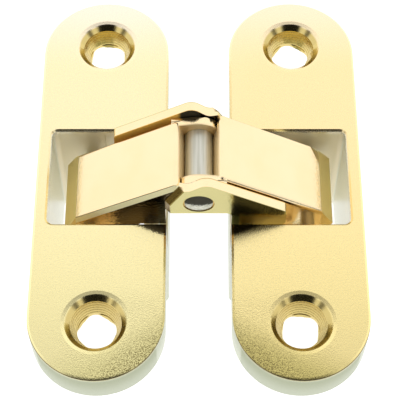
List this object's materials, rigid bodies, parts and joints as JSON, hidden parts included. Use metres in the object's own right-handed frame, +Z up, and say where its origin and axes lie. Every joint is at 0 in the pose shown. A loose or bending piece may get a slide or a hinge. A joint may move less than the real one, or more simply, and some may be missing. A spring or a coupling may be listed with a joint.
{
  "type": "invisible hinge",
  "caption": "Concealed mortise hinge: round-ended screw leaves with pocket housings, joined by crossed arms on pins so the leaves fold face to face.",
  "frame": {"origin": "on the ground midway between the two housings, with the hinge lying fully open", "axes": "+X from the left leaf to the right leaf, +Y along the leaves and the pins, +Z up out of the leaf faces"},
  "size_m": [0.0448, 0.06, 0.0283],
  "materials": {
    "gold_plating": "gold plated zinc casting, satin",
    "steel": "plain turned steel"
  },
  "bodies": {
    "left_leaf": {"left_leaf": "gold_plating", "left_pivot_pin": "steel"},
    "right_arm": {"right_arm": "gold_plating", "right_slide_pin": "steel"},
    "left_arm": {"left_arm": "gold_plating", "left_slide_pin": "steel", "centre_pin": "steel"},
    "right_leaf": {"right_leaf": "gold_plating", "right_pivot_pin": "steel"}
  },
  "joints": [
    {"name": "left_pivot", "type": "hinge", "parent": "left_leaf", "child": "right_arm", "pos_m": [-0.0065, 0, 0.01546], "axis": [0, -1, 0], "range_deg": [0, 99.6]},
    {"name": "centre_pivot", "type": "hinge", "parent": "right_arm", "child": "left_arm", "pos_m": [0, 0, 0.02391], "axis": [0, -1, 0], "range_deg": [-19.3, 0]},
    {"name": "right_pivot", "type": "hinge", "parent": "left_arm", "child": "right_leaf", "pos_m": [0.0065, 0, 0.01546], "axis": [0, -1, 0], "range_deg": [0, 100]}
  ],
  "couplings": [
    {"joint": "centre_pivot", "follows": "left_pivot", "ratio": -0.19275},
    {"joint": "right_pivot", "follows": "left_pivot", "ratio": 1}
  ]
}
